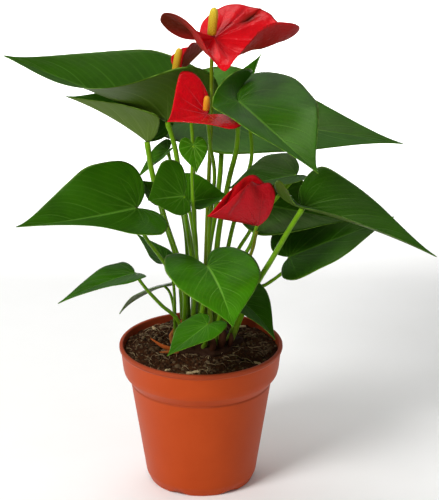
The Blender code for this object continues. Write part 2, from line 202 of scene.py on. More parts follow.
def node(tree, kind, *values, **settings):
    """Adds one shader node, fills its inputs in order and returns its output. A kind in capitals
    is one step of arithmetic. A Mix goes from its second value to its third as the first goes
    from 0 to 1. A MapRange is a smooth step as its first value goes from the second to the
    third; it steps from 0 to 1, or from the fourth value to the fifth."""
    if kind.isupper():
        kind, settings = "Math", {"operation": kind}
    made = tree.nodes.new(f"ShaderNode{kind}")
    for name, value in {**USUAL_SETTINGS.get(kind, {}), **settings}.items():
        setattr(made, name, value)
    for socket, value in zip([socket for socket in made.inputs if socket.enabled], values):
        fill(tree, socket, value)
    return made.outputs[OUTPUT_IN_USE.get(kind, 0)]


def uv_place(tree):
    """A point's U and V on the piece's own UV map, as two numbers."""
    parts = node(tree, "SeparateXYZ", node(tree, "UVMap", uv_map="UVMap")).node.outputs
    return parts[0], parts[1]


def speckle(tree, per_mm, detail=3.0, roughness=0.6):
    """Cloudy noise on the piece's own coordinates, with a given number of lumps to the mm."""
    return node(tree, "TexNoise", node(tree, "TexCoord"), per_mm / MM, detail, roughness)


def fan_of_veins(tree, degrees, width, fade):
    """Veins that spread from a blade's joint at the given angles from the midrib. A point's
    angle is the arc tangent of its place aside over its place ahead, both in flat mm, and its
    distance from a vein is the angle between them times its reach. A vein ends width mm to each
    side, and fades out at a reach of fade mm."""
    ahead, aside = (node(tree, "Attribute", attribute_name=name) for name in ("ahead", "aside"))
    angle = node(tree, "ARCTAN2", aside, ahead)
    aside_squared = node(tree, "MULTIPLY", aside, aside)
    reach = node(tree, "SQRT", node(tree, "MULTIPLY_ADD", ahead, ahead, aside_squared))
    nearest = node(tree, "ABSOLUTE", node(tree, "SUBTRACT", angle, math.radians(degrees[0])))
    for other in degrees[1:]:
        apart = node(tree, "ABSOLUTE", node(tree, "SUBTRACT", angle, math.radians(other)))
        nearest = node(tree, "MINIMUM", nearest, apart)
    line = node(tree, "MapRange", node(tree, "MULTIPLY", nearest, reach), 0.0, width, 1.0, 0.0)
    return node(tree, "MULTIPLY", line, node(tree, "MapRange", reach, 0.0, fade, 1.0, 0.0))


def new_material(name, *facts):
    """An empty node material. Returns its tree, to be filled, and what a piece's attributes of
    the given names hold at a point; one that the piece lacks reads as 0."""
    MATERIALS[name] = bpy.data.materials.new(name)
    MATERIALS[name].use_nodes = True
    tree = MATERIALS[name].node_tree
    return tree, *(node(tree, "Attribute", attribute_name=fact) for fact in facts)


def finish_material(name, colour, roughness, relief=None, relief_mm=0.1, **sockets):
    """Ends a material's tree in a Principled surface, with a bump of the given depth."""
    tree = MATERIALS[name].node_tree
    surface = tree.nodes["Principled BSDF"]
    inputs = {"Base Color": colour, "Roughness": roughness, **sockets}
    if relief is not None:
        inputs["Normal"] = node(tree, "Bump", 1.0, relief_mm * MM)
        fill(tree, inputs["Normal"].node.inputs["Height"], relief)
    for socket, value in inputs.items():
        fill(tree, surface.inputs[socket], value)
    print("finish:", name, len(tree.nodes), "nodes")
    return MATERIALS[name]


# %% [markdown]
# ## Leaf finish
# An anthurium leaf is leathery and waxed on its upper face, deep green when old and lime green
# when young, and duller and paler below. The wax gives the eye broad, soft highlights that
# take on some of the green. A pale midrib runs to the tip, five main veins on each side fan out
# from the stalk's joint, side veins slant forward, and finer ones lie between them. Midrib and
# side veins follow the leaf's own UV map, in which U runs round the edge from the notch to the
# tip and V runs across, so they fit every leaf whatever its size. The fan is worked out in
# millimetres, from where a point would lie if the leaf were flat.

# %% Waxy leaf
SIDE_VEINS, SIDE_VEIN_SLANT = 9.0, -1.9
MAIN_VEIN_DEGREES, MAIN_VEIN_WIDTH, MAIN_VEIN_FADE = (22, 46, 78, 118, 150), 0.7, 40.0
tree, under, tone = new_material("waxy_leaf", "under", "tone")
round_edge, across = uv_place(tree)
side = node(tree, "ABSOLUTE", node(tree, "MULTIPLY_ADD", across, 2.0, -1.0))
slanted = node(tree, "MULTIPLY_ADD", round_edge, SIDE_VEINS, node(tree, "MULTIPLY", side, SIDE_VEIN_SLANT))
between = node(tree, "PINGPONG", slanted, 0.5)
side_vein = node(tree, "MULTIPLY", node(tree, "MapRange", between, 0.0, 0.05, 0.42, 0.0),
                 node(tree, "MapRange", side, 0.35, 0.9, 1.0, 0.0))
fine_vein = node(tree, "PINGPONG", node(tree, "MULTIPLY", slanted, 4.0), 0.5)
fine_vein = node(tree, "MULTIPLY", node(tree, "MapRange", fine_vein, 0.0, 0.25, 1.0, 0.0), 0.1)
near_joint = node(tree, "MapRange", round_edge, 0.35, 0.9, 1.0, 0.45)
midrib_vein = node(tree, "MULTIPLY", node(tree, "MapRange", side, 0.012, 0.045, 1.0, 0.0), near_joint)
main_vein = fan_of_veins(tree, MAIN_VEIN_DEGREES, MAIN_VEIN_WIDTH, MAIN_VEIN_FADE)
main_vein = node(tree, "MULTIPLY", main_vein, 0.45)
veins = node(tree, "MAXIMUM", node(tree, "MAXIMUM", side_vein, fine_vein),
             node(tree, "MAXIMUM", main_vein, midrib_vein))
print("main veins:", 2 * len(MAIN_VEIN_DEGREES))

# %% Leaf colours, relief and gloss
mottle = speckle(tree, 0.035, 4.0)
upper = node(tree, "Mix", tone, "#193703", "#3E8007")
dark_patch = node(tree, "MULTIPLY", node(tree, "MapRange", mottle, 0.3, 0.7), 0.45)
upper = node(tree, "Mix", dark_patch, upper, "#102C04")
vein_colour = node(tree, "Mix", tone, "#3F6A1A", "#8CC84A")
upper = node(tree, "Mix", node(tree, "MULTIPLY", veins, 0.55), upper, vein_colour)
edge = node(tree, "MapRange", side, 0.965, 0.99)
upper = node(tree, "Mix", node(tree, "MULTIPLY", edge, 0.75), upper, "#8CB448")
lower = node(tree, "Mix", tone, "#30490A", "#647E24")
lower = node(tree, "Mix", node(tree, "MULTIPLY", mottle, 0.4), lower, "#304A10")
lower = node(tree, "Mix", node(tree, "MULTIPLY", veins, 0.5), lower, "#7C9444")
colour = node(tree, "Mix", under, upper, lower)
grain = speckle(tree, 0.5, 3.0)
relief = node(tree, "SUBTRACT", node(tree, "MULTIPLY", grain, 0.3), node(tree, "MULTIPLY", veins, 0.5))
swelling = node(tree, "MULTIPLY", node(tree, "MapRange", between, 0.0, 0.5), 0.25)
relief = node(tree, "ADD", relief, swelling)
leaf_roughness = node(tree, "MULTIPLY_ADD", under, 0.2, node(tree, "MULTIPLY_ADD", mottle, 0.14, 0.28))
waxy_leaf = finish_material("waxy_leaf", colour, leaf_roughness, relief, 0.5,
                            **{"Subsurface Weight": 0.06, "Subsurface Radius": (0.4, 1.0, 0.2),
                               "Subsurface Scale": 0.002, "Specular IOR Level": 0.28,
                               "Specular Tint": "#B4CC58"})

# %% [markdown]
# ## Spathe, spadix and stalk finishes
# A spathe is a bract with a lacquer-like wax: scarlet above, with veins pressed in and a clear
# gloss, and dull brownish red below. The spadix is a spike of hundreds of tiny four-sided
# flowers, which read as a fine diagonal pebbling. Stalks are smooth and lime green, and they
# darken to olive and brown where they age. Spadix and stalk get their colour from how far along
# them a point lies, which the attribute "along" holds.

# %% Lacquered spathe
RIB_DEGREES, RIB_WIDTH, RIB_FADE = (20, 42, 70, 105), 0.6, 30.0
tree, under, dusk, ribs, bright = new_material("lacquered_spathe", "under", "dusk", "ribs", "bright")
ribs = node(tree, "MAXIMUM", ribs, fan_of_veins(tree, RIB_DEGREES, RIB_WIDTH, RIB_FADE))
mottle, pucker = speckle(tree, 0.09, 3.0), speckle(tree, 0.22, 2.0)
upper = node(tree, "Mix", mottle, "#AC070F", "#DC121E")
upper = node(tree, "Mix", node(tree, "MULTIPLY", ribs, 0.5), upper, "#E8525C")
lower = node(tree, "Mix", mottle, "#86100F", "#A82020")
lower = node(tree, "Mix", bright, lower, "#B41420")
colour = node(tree, "Mix", under, upper, lower)
# Dusky colour: the top spathe's underside colour where its rim rolls over on the left, and painted shade
# in its pinched fold and along the bud's creases.
colour = node(tree, "Mix", dusk, colour, "#54180A")
relief = node(tree, "SUBTRACT", pucker, node(tree, "MULTIPLY", ribs, 0.5))
spathe_roughness = node(tree, "MULTIPLY_ADD", under, 0.22, 0.24)
lacquered_spathe = finish_material("lacquered_spathe", colour, spathe_roughness, relief, 0.8,
                                   **{"Subsurface Weight": 0.1, "Subsurface Radius": (1.0, 0.1, 0.08),
                                      "Subsurface Scale": 0.002, "Specular IOR Level": 0.2,
                                      "Specular Tint": "#FF7468", "Coat Weight": 0.07,
                                      "Coat Roughness": 0.1})

# %% Pebbled spadix
FLOWERS_ALONG, FLOWERS_ROUND = 11.0, 8.0
tree, along, tone = new_material("pebbled_spadix", "along", "tone")
lengthwise, round_spike = uv_place(tree)
rising = node(tree, "MULTIPLY_ADD", lengthwise, FLOWERS_ALONG,
              node(tree, "MULTIPLY", round_spike, FLOWERS_ROUND))
falling = node(tree, "MULTIPLY_ADD", lengthwise, FLOWERS_ALONG,
               node(tree, "MULTIPLY", round_spike, -FLOWERS_ROUND))
pebble = node(tree, "MULTIPLY", node(tree, "PINGPONG", rising, 0.5), node(tree, "PINGPONG", falling, 0.5))
pebble = node(tree, "MapRange", pebble, 0.0, 0.12)
colour = node(tree, "Mix", along, "#C89E10", "#F0D63A")
colour = node(tree, "Mix", tone, colour, "#FFA826")
colour = node(tree, "Mix", node(tree, "MULTIPLY_ADD", pebble, -0.35, 0.35), colour, "#8E700E")
pebbled_spadix = finish_material("pebbled_spadix", colour, 0.55, pebble, 0.3,
                                 **{"Subsurface Weight": 0.1, "Subsurface Scale": 0.001,
                                    "Specular IOR Level": 0.25})

# %% Smooth stalk
tree, along, tone = new_material("smooth_stalk", "along", "tone")
streaks = speckle(tree, 0.25, 3.0)
colour = node(tree, "Mix", along, "#5A860E", "#6C9A16")
colour = node(tree, "Mix", tone, colour, "#6A3E14")
colour = node(tree, "Mix", node(tree, "MULTIPLY", streaks, 0.35), colour, "#35540A")
foot = node(tree, "MapRange", along, 0.02, 0.14, 0.75, 0.0)
colour = node(tree, "Mix", foot, colour, "#7C8C34")
smooth_stalk = finish_material("smooth_stalk", colour, 0.38, streaks, 0.15,
                               **{"Subsurface Weight": 0.08, "Subsurface Radius": (0.5, 1.0, 0.2),
                                  "Subsurface Scale": 0.002, "Specular IOR Level": 0.3,
                                  "Specular Tint": "#C8D870"})

# %% [markdown]
# ## Pot, soil and dry finishes
# The pot is polypropylene, injection moulded in a terracotta colour: satin, with a faint cloudy
# flow in the colour and a very fine mould grain. The soil is dark peat with pale fibres and
# flakes of bark. The crown and the dried sheaths round it are papery brown, streaked lengthwise.

# %% Moulded polypropylene
tree, lip = new_material("moulded_polypropylene", "lip")
cloud, grain = speckle(tree, 0.035, 3.0), speckle(tree, 1.2, 2.0)
colour = node(tree, "Mix", cloud, "#A83E16", "#B6481C")
colour = node(tree, "Mix", node(tree, "MULTIPLY", grain, 0.12), colour, "#8A300F")
# The lip is a darker red of its own; a thin ring at the collar's crease takes the same colour as painted
# shade.
colour = node(tree, "Mix", node(tree, "MULTIPLY", lip, 0.7), colour, "#8A3A24")
pot_roughness = node(tree, "MULTIPLY_ADD", cloud, 0.1, 0.42)
moulded_polypropylene = finish_material("moulded_polypropylene", colour, pot_roughness, grain, 0.05,
                                        **{"Subsurface Weight": 0.05, "Subsurface Scale": 0.002,
                                           "Specular IOR Level": 0.22, "Specular Tint": "#FFA078"})

# %% Peat, bark and fibre
tree, pale = new_material("dark_peat", "pale")
crumbs, flecks = speckle(tree, 0.35, 5.0, 0.75), speckle(tree, 1.1, 3.0)
colour = node(tree, "Mix", node(tree, "MapRange", crumbs, 0.3, 0.75), "#180B04", "#4C2A12")
colour = node(tree, "Mix", node(tree, "MapRange", flecks, 0.66, 0.74), colour, "#6A4630")
colour = node(tree, "Mix", pale, colour, "#CDB48A")
dark_peat = finish_material("dark_peat", colour, 0.95, crumbs, 1.6, **{"Specular IOR Level": 0.1})

# %% Papery sheath
tree, pale, dark = new_material("dry_sheath", "pale", "dark")
streaks = speckle(tree, 0.5, 4.0)
colour = node(tree, "Mix", streaks, "#8C3A12", "#C8682A")
colour = node(tree, "Mix", pale, colour, "#C9B070")
colour = node(tree, "Mix", dark, colour, "#1E1006")
dry_sheath = finish_material("dry_sheath", colour, 0.75, streaks, 0.5, **{"Specular IOR Level": 0.15})
print("finishes in all:", len(MATERIALS))

# %% [markdown]
# ## Leaves
# Each leaf is one closed sheet. Its middle surface comes first: half of a heart-shaped outline is
# a smooth curve, and each row of the grid runs from the midrib out to a point on it, or from the
# stalk's joint where the lobes reach behind it. Every row leaves the midrib at the fold angle and
# bends on an arc, and the midrib itself may arch. The upper and lower faces lie half a thickness
# to each side, and the thickness fades to nothing at the edge, so the two faces meet there.

# %% The shape of one blade
LEAF_ROWS, LEAF_STRIPS = 72, 16
LEAF_RIPPLE = 0.012  # height of the edge's ripple, as a share of the blade's length
# Half of a blade's outline: (lengths from the stalk joint, half widths from the midrib).
BLADE_OUTLINE = (
    (0.00, 0.00), (-0.45, 0.10), (-0.86, 0.26), (-1.00, 0.50), (-0.72, 0.80), (0.02, 0.985),
    (0.22, 0.94), (0.42, 0.72), (0.61, 0.46), (0.79, 0.21), (0.91, 0.07), (1.00, 0.00),
)


def blade(joint, heading, pitch, length, half, fold, tip_fold=None, lobe=(0.25, 0.25), lift=(0, 0),
          curl=(-10, -10), arch=0, sway=0, full=1.0, swing=0, tone=0.4, ripple=None):
    """One blade's place, shape and tone. Pairs are (left, right), seen from joint to tip."""
    half = half if isinstance(half, tuple) else (half, half)
    ripple = LEAF_RIPPLE * length if ripple is None else ripple
    return dict(joint=joint, heading=heading, pitch=pitch, length=length, half=half, fold=fold,
                tip_fold=tip_fold or fold, lobe=lobe, lift=lift, curl=curl, arch=arch, sway=sway,
                full=full, swing=swing, tone=tone, ripple=ripple)


def half_grid(spec, pick):
    """One half as a grid of shares of the length and of the half width. Its outline has its
    lobe scaled to this blade, and its tip made fuller or finer by a power. Each row runs to an
    outline point from the midrib, or from the joint where the lobe reaches behind it."""
    points = np.array(BLADE_OUTLINE)
    behind = points[:, 0] < 0
    points[behind, 0] *= spec["lobe"][pick]
    points[~behind, 0] **= spec["full"]
    x, y = catmull_rom(points, LEAF_ROWS).T
    share = np.linspace(0, 1, LEAF_STRIPS + 1)
    return np.where(x[:, None] < 0, x[:, None] * share, x[:, None]), np.maximum(y, 0)[:, None] * share


def blade_frame(spec):
    """Unit vectors of a blade: along its midrib, to its left, and out of its upper face."""
    heading, pitch = math.radians(spec["heading"]), math.radians(spec["pitch"])
    level = np.array([math.cos(heading), math.sin(heading), 0.0])
    along = math.cos(pitch) * level + np.array([0.0, 0.0, math.sin(pitch)])
    left = np.array([-level[1], level[0], 0.0])
    return along, left, np.cross(along, left)


def midrib(spec, x):
    """Straight from joint to tip, plus an arch and a sway that are zero at both ends."""
    along, left, up = blade_frame(spec)
    bow = np.where(x > 0, 4 * x * (1 - x), 4 * x)[..., None]
    straight = np.array(spec["joint"]) + x[..., None] * spec["length"] * along
    return straight + bow * (spec["arch"] * up + spec["sway"] * left)


def blade_half(spec, pick):
    """Points of one half: an arc of radius width / turn that leaves the midrib at the fold
    angle, plus a ripple that grows with the cube of the distance from the midrib."""
    _, left, up = blade_frame(spec)
    x, y = half_grid(spec, pick)
    side = 1 - 2 * pick
    back = np.clip(-x / spec["lobe"][pick], 0, 1)
    root, tip = spec["fold"][pick], spec["tip_fold"][pick]
    fold = tip + (root - tip) * (1 - np.clip(x, 0, 1)) ** 2
    start = np.radians(fold + spec["lift"][pick] * back)
    turn = np.radians(spec["curl"][pick]) * y + 1e-9
    reach = y * spec["half"][pick] / turn
    across = reach * (np.sin(start + turn) - np.sin(start))
    height = reach * (np.cos(start) - np.cos(start + turn))
    height = height + spec["ripple"] * np.sin(11 * x + 2 * side) * np.abs(y) ** 3
    swing = np.array([spec["swing"] if side < 0 else 0, 0, 0]) * (back**1.5)[..., None]
    return midrib(spec, x) + left * (side * across)[..., None] + up * height[..., None] + swing


def blade_middle(spec):
    """The middle surface as a grid: rows from the notch round the lobe to the tip, columns
    from the left edge to the right."""
    left, right = blade_half(spec, 0), blade_half(spec, 1)
    return np.concatenate([left[:, ::-1], right[:, 1:]], axis=1)


def surface_normals(middle):
    """The cross product of the grid's two directions; where the grid shrinks to a point, the
    neighbours' mean stands in."""
    raw = np.cross(np.gradient(middle, axis=0), np.gradient(middle, axis=1))
    small = np.linalg.norm(raw, axis=-1, keepdims=True) < 1e-6
    padded = np.pad(unit(raw) * ~small, ((0, 0), (1, 1), (0, 0)), mode="edge")
    near = unit(padded[:, :-2] + padded[:, 2:])
    normal = np.where(small, near, unit(raw))
    normal[0], normal[-1] = normal[1], normal[-2]
    return normal


def flat_place(spec):
    """Where each point lies on the blade laid flat: mm ahead of the joint, and mm aside."""
    scales = [np.array([spec["length"], half])[:, None, None] for half in spec["half"]]
    left, right = (np.stack(half_grid(spec, pick)) * scales[pick] for pick in (0, 1))
    ahead, aside = np.concatenate([left[:, :, ::-1], right[:, :, 1:]], axis=2)
    return {"ahead": ahead, "aside": aside}


def sheet(middle, thickness, **facts):
    """A closed sheet round a middle surface: half the thickness to each side, times the root of
    one minus the eighth power of the distance from the midrib, so it is nothing at the edge."""
    rows, columns, _ = middle.shape
    facts = {name: np.concatenate([value, value[:, ::-1]], axis=1) if np.ndim(value) else value
             for name, value in facts.items()}
    across = np.linspace(-1, 1, columns)
    half = 0.5 * thickness * np.sqrt(1 - across**8) * np.ones((rows, 1))
    half[[0, -1]] = 0
    offset = surface_normals(middle) * half[..., None]
    u, v = np.meshgrid(np.linspace(0, 1, rows), 0.5 + 0.5 * across, indexing="ij")
    uv = np.concatenate([np.stack([u, v], -1), np.stack([u, v], -1)[:, ::-1]], axis=1)
    points = np.concatenate([middle - offset, (middle + offset)[:, ::-1]], axis=1)
    under = np.concatenate([np.zeros((rows, columns)), np.ones((rows, columns))], axis=1)
    return shell(points, uv, under=under, **facts)


# %% Every leaf
# joint is where the stalk meets the blade, heading is counted from +X towards +Y, pitch is up,
# fold raises each half at the joint, tip_fold at the tip, and lift adds to the lobes. curl bends
# each half up on its way out, arch and sway bow the midrib up and to the left, full below 1
# fills out the tip, and swing moves the right lobe along X. Angles are in degrees and lengths in
# mm. tone is how young and light the leaf is, from 0 to 1.
LEAF_THICKNESS = 0.8
LEAVES = {
    "leaf_top_left": blade((-24, 8, 277), 168, 19, 129, (57, 60), (74, 34), (8, 34), (0.22, 0.20), (30, 0),
                           tone=0.2),
    "leaf_upper_left": blade((-39, 23, 256), 166, 26, 68, (38, 45), (62, 35), (50, 35), (0.06, 0.15),
                             arch=3, tone=0.5),
    "leaf_mid_left": blade((-45, -45, 231), 205, 1, 94, 44, (-3, 42), (20, 42), (0.12, 0.12),
                           arch=-2, full=0.9, tone=0.3),
    "leaf_round": blade((-12, -55, 244), 205, 4, 28, (14, 28), (-50, 62), (-30, 60), (0.15, 0.15),
                        full=0.6, tone=0.3),
    "leaf_olive": blade((-9, -26, 228), 19, 2, 31, 22, (60, 12), lobe=(0.05, 0.05), full=0.8,
                        tone=0.6),
    "leaf_centre_small": blade((-5, -40, 277), 281, -50, 21, (10, 11), (12, 8), lobe=(0.3, 0.3), full=0.9,
                               tone=0.65),
    "leaf_upper_right": blade((27, -30, 306), 303, -12, 104, (49, 24), (16, 12), (15, 20), (0.32, 0.40),
                              (0, 70), arch=6, sway=-6, full=0.68, swing=26),
    "leaf_back_right": blade((12, 78, 252), 353, -5, 139, 54, (34, 2), (20, -6), (0.3, 0.3), arch=2,
                             tone=0.5),
    "leaf_back_young": blade((33, 18, 289), 73, 33, 44, 16, (50, 75), arch=2, tone=0.8),
    "leaf_behind_bud": blade((69, -8, 242), 199, -4, 53, (16, 25), (10, 30), lobe=(0.1, 0.1),
                             full=0.8, tone=0.15),
    "leaf_right": blade((73, -40, 229), 342, -14, 103, 38, (41, 32), (20, 30), (0.08, 0.22), (0, 35),
                        arch=3, tone=0.2),
    "leaf_right_shade": blade((45, 20, 208), 351, -8, 66, 32, (50, -15), lobe=(0.1, 0.2), tone=0.1),
    "leaf_lower_right": blade((65, 10, 171), 353, 25, 84, (30, 30), (42, -10), (25, -14), (0.15, 0.08),
                              full=0.7, tone=0.15),
    "leaf_front_heart": blade((5, -55, 190), 287, -19, 66, 34, (15, 12), lobe=(0.35, 0.35), arch=5,
                              full=0.62, tone=0.85),
    "leaf_front_small": blade((5, -60, 147), 226, -15, 43, 18, (10, 10), lobe=(0.2, 0.2), full=0.8,
                              tone=0.7),
    "leaf_front_right": blade((23, -45, 163), 321, -31, 46, 24, (20, 20), arch=4, tone=0.3),
    "leaf_low_left": blade((-47, -55, 185), 209, -10, 63, 19, (15, 15), lobe=(0.04, 0.04), arch=2),
    "leaf_back_left": blade((-28, 20, 145), 149, -40, 50, 14, (10, -15), arch=4, tone=0.3),
    "leaf_back_left_young": blade((-26, 15, 165), 138, 27, 33, 12, (20, 10), lobe=(0.05, 0.05),
                                  tone=0.5),
    "leaf_under_left": blade((-24, 36, 244), 192, -40, 31, 12, (20, 30), lobe=(0.2, 0.2)),
    "leaf_inner_left": blade((-29, -8, 221), 148, 37, 23, 13, (20, 30), lobe=(0.1, 0.1), full=0.7),
}
for name, spec in LEAVES.items():
    item = sheet(blade_middle(spec), LEAF_THICKNESS, tone=spec["tone"], **flat_place(spec))
    add_piece(f"{name}_blade", item, waxy_leaf, "leaf", name)
print("leaves:", len(LEAVES))

# %% [markdown]
# ## Stalks
# A stalk is a round bar along a smooth curve from the crown to the leaf or flower that it
# carries. It is thickest at its foot, where it clasps the crown, and it swells a little again
# just under a blade, at the knuckle that lets a leaf turn to the light.

# %% The course of each leaf stalk
# Leaf stalks: foot on the crown (x, y), the points that each passes on its way up, and its radius.
LEAF_STALKS = {
    "leaf_top_left": ((-5, 14), ((-6, 5, 169), (-12, 4, 211), (-18, 6, 255)), 2.2),
    "leaf_upper_left": ((-12, 14), ((-16, 11, 162), (-26, 16, 197), (-35, 20, 231)), 2.4),
    "leaf_mid_left": ((-14, 0), ((-12, -16, 154), (-25, -32, 182), (-42, -45, 214)), 1.6),
    "leaf_round": ((-5, 7), ((-6, -18, 172), (-10, -42, 217)), 1.6),
    "leaf_olive": ((0, 0), ((-2, -12, 170), (-5, -24, 202)), 1.5),
    "leaf_centre_small": ((-7, 0), ((-3, -26, 185), (-5, -50, 230), (-6, -42, 255)), 1.5),
    "leaf_upper_right": ((9, 8), ((12, -5, 187), (20, -12, 238), (26, -20, 269)), 2.2),
    "leaf_back_right": ((5, 21), ((5, 18, 165), (12, 35, 206), (15, 62, 235)), 2.2),
    "leaf_back_young": ((9, 14), ((21, 4, 187), (33, 8, 232), (37, 10, 255)), 1.7),
    "leaf_behind_bud": ((16, 14), ((24, 2, 160), (36, -9, 188), (44, -14, 212)), 1.6),
    "leaf_right": ((21, 0), ((38, -22, 158), (51, -34, 187), (63, -40, 212)), 2.2),
    "leaf_right_shade": ((12, 21), ((23, 20, 162), (36, 22, 187)), 1.6),
    "leaf_lower_right": ((22, 8), ((32, 0, 145), (48, 4, 152), (62, 8, 162)), 1.5),
    "leaf_front_heart": ((-3, -7), ((4, -42, 171),), 1.8),
    "leaf_front_small": ((2, -13), ((7, -44, 138),), 1.3),
    "leaf_front_right": ((10, -8), ((15, -30, 148),), 1.5),
    "leaf_low_left": ((-12, -7), ((-17, -22, 135), (-28, -36, 152), (-39, -50, 171)), 1.5),
    "leaf_back_left": ((-19, 15), ((-20, 15, 128), (-23, 17, 140)), 1.2),
    "leaf_back_left_young": ((-19, 8), ((-20, 10, 149),), 1.2),
    "leaf_under_left": ((-9, 21), ((-11, 21, 182), (-19, 31, 222)), 1.4),
    "leaf_inner_left": ((-12, 7), ((-14, 1, 164), (-23, -5, 198)), 1.3),
}
STALK_FOOT = 109.0  # height of every foot, inside the crown
STALK_ROWS = 40
FOOT_FLARE, FOOT_LENGTH = 0.9, 0.07
KNUCKLE_PLACE, KNUCKLE_LENGTH = 0.965, 0.03  # shares of the stalk's length
LEAF_KNUCKLE, FLOWER_KNUCKLE = 0.35, 0.2  # mm that each knuckle adds to the radius


# %% A bar along a curve
def bar(path, radii, sides=12, **facts):
    """A closed round bar: at each point of the path a ring of the given radius is spread on two
    vectors square to the path, and both ends shrink to a point."""
    path = np.concatenate([path[:1], path, path[-1:]])
    radii = np.concatenate([[0], radii, [0]])
    tangent = np.gradient(path, axis=0)
    tangent[0], tangent[-1] = tangent[1], tangent[-2]
    over = unit(np.cross(unit(tangent), np.array([1.0, 0.15, 0.1])))
    side = np.cross(over, unit(tangent))
    angle = np.linspace(0, 2 * math.pi, sides + 1)[None, :, None]
    ring = np.cos(angle) * side[:, None] + np.sin(angle) * over[:, None]
    points = path[:, None] + radii[:, None, None] * ring
    along = np.linspace(0, 1, len(path))[:, None]
    facts = {name: np.broadcast_to(value, (len(path), sides + 1)) for name, value in facts.items()}
    return shell(points, along=along, **facts)


def stalk(foot, passed, end, radius, tone, knuckle):
    """A bar whose radius falls to four fifths, with a flare at the foot and a knuckle on top."""
    path = catmull_rom([(*foot, STALK_FOOT), *passed, end], STALK_ROWS)
    share = np.linspace(0, 1, STALK_ROWS)
    radii = radius * (1 - 0.2 * share) + FOOT_FLARE * bell(share, 0, FOOT_LENGTH)
    radii = radii + knuckle * bell(share, KNUCKLE_PLACE, KNUCKLE_LENGTH)
    return bar(path, radii, tone=tone)


for name, spec in LEAVES.items():
    foot, passed, radius = LEAF_STALKS[name]
    item = stalk(foot, passed, spec["joint"], radius, 0.0, LEAF_KNUCKLE)
    stalk_name = name.replace("leaf", "stalk", 1)
    add_piece(f"{stalk_name}_bar", item, smooth_stalk, "leaf_stalk", stalk_name)
print("leaf stalks:", len(LEAF_STALKS))

# %% [markdown]
# ## Flowers
# Three of the spathes are blades like the leaves, thicker and more cupped. The top one is wide
# open and its sides roll up, so it is a fan: curves run from the joint over a belly point to a
# rim point, and a smooth closed curve carries them round the rim. Its dusky underside shows on
# the left, where the rim rolls over. A pinched fold on its right and the bud's creases are
# darkened with painted shade.

# %% The cupped spathes
# tone is how red the underside is, from 0 for dusty maroon to 1 for crimson.
SPATHE_THICKNESS = 1.0
SPATHES = {
    "flower_back": blade((-13, 18, 313), 50, 22, 29, (13, 23), (50, 58), lobe=(0.12, 0.12),
                         curl=(10, 20), full=0.7, tone=0.0, ripple=0.6),
    "flower_mid": blade((5, -34, 298), 218, 5, 36, 37, (6, 52), (8, 50), lobe=(0.4, 0.2), tone=0.6,
                        ripple=0.8),
    "flower_bud": blade((41, -48, 219), 207, 20, 43, 34, (60, 70), lobe=(0.1, 0.1), curl=(60, 20),
                        full=0.6, tone=0.9, ripple=2.2),
}


def bud_creases(rows, columns):
    """Two soft folds that cross the half-open spathe: bells along its length, which deepen with
    the distance from the midrib, and whose middles shift with that distance squared."""
    row, column = np.meshgrid(np.linspace(0, 1, rows), np.linspace(-1, 1, columns), indexing="ij")
    crease = bell(row, 0.47 + 0.1 * column**2, 0.035) + bell(row, 0.7 - 0.08 * column**2, 0.03)
    return crease * np.abs(column)


# The bud's creases are raised, and they are darkened along their length with painted shade.
CREASE_HEIGHT, CREASE_SHADE = 1.5, 0.4
for name, spec in SPATHES.items():
    middle = blade_middle(spec)
    crease = (name == "flower_bud") * bud_creases(*middle.shape[:2])
    middle = middle + surface_normals(middle) * (CREASE_HEIGHT * crease)[..., None]
    item = sheet(middle, SPATHE_THICKNESS, dusk=CREASE_SHADE * crease, bright=spec["tone"],
                 **flat_place(spec))
    add_piece(f"{name}_spathe_sheet", item, lacquered_spathe, "spathe", f"{name}_spathe")
print("cupped spathes:", len(SPATHES))

# %% The open top spathe
# Points round the rim, and for each a belly point halfway along the curve that runs out to it.
TOP_JOINT = (10, -27, 353)
TOP_RIM = (
    (17, -60, 340), (8, -54, 348), (3, -50, 357), (-1, -48, 364), (-7, -48, 371), (-13, -48, 376),
    (-20, -48, 379), (-26, -46, 378), (-28, -41, 371), (-25, -35, 364), (-20, -31, 358),
    (-12, -28, 353), (-3, -24, 351), (-1, -14, 352), (1, -6, 357), (6, 0, 361), (12, 4, 364),
    (19, 8, 366), (27, 9, 366), (35, 8, 365), (42, 5, 366), (45, 5, 364), (50, 3, 361),
    (54, -3, 358), (61, -10, 355), (69, -20, 356), (70, -28, 362), (66, -33, 366), (60, -36, 368),
    (53, -39, 369), (43, -43, 366), (36, -47, 359), (31, -51, 354), (25, -56, 348),
)
TOP_BELLY = (
    (13, -44, 349), (6, -41, 348), (2, -38, 349), (-2, -37, 354), (-3, -37, 358), (-6, -37, 362),
    (-9, -37, 365), (-11, -36, 365), (-13, -34, 363), (-11, -31, 359), (-7, -29, 356),
    (-2, -27, 353), (3, -24, 352), (5, -20, 354), (5, -16, 355), (8, -13, 358), (11, -11, 360),
    (15, -9, 360), (19, -9, 360), (24, -9, 360), (27, -11, 360), (30, -12, 358), (32, -13, 357),
    (37, -15, 353), (44, -17, 350), (49, -20, 349), (52, -22, 348), (51, -24, 348),
    (48, -26, 347), (44, -28, 346), (37, -31, 346), (30, -34, 345), (25, -37, 345),
    (19, -40, 346),
)
FAN_STEPS, FAN_ROWS = 340, 30
RIM_POINTS = len(TOP_RIM)


def fan_normals(middle):
    """The cross product of the grid's two directions, with the mean of the first ring's at the joint."""
    raw = np.cross(np.gradient(middle, axis=1), np.gradient(middle, axis=0))
    raw[0] = raw[1].mean(0)
    return unit(raw)


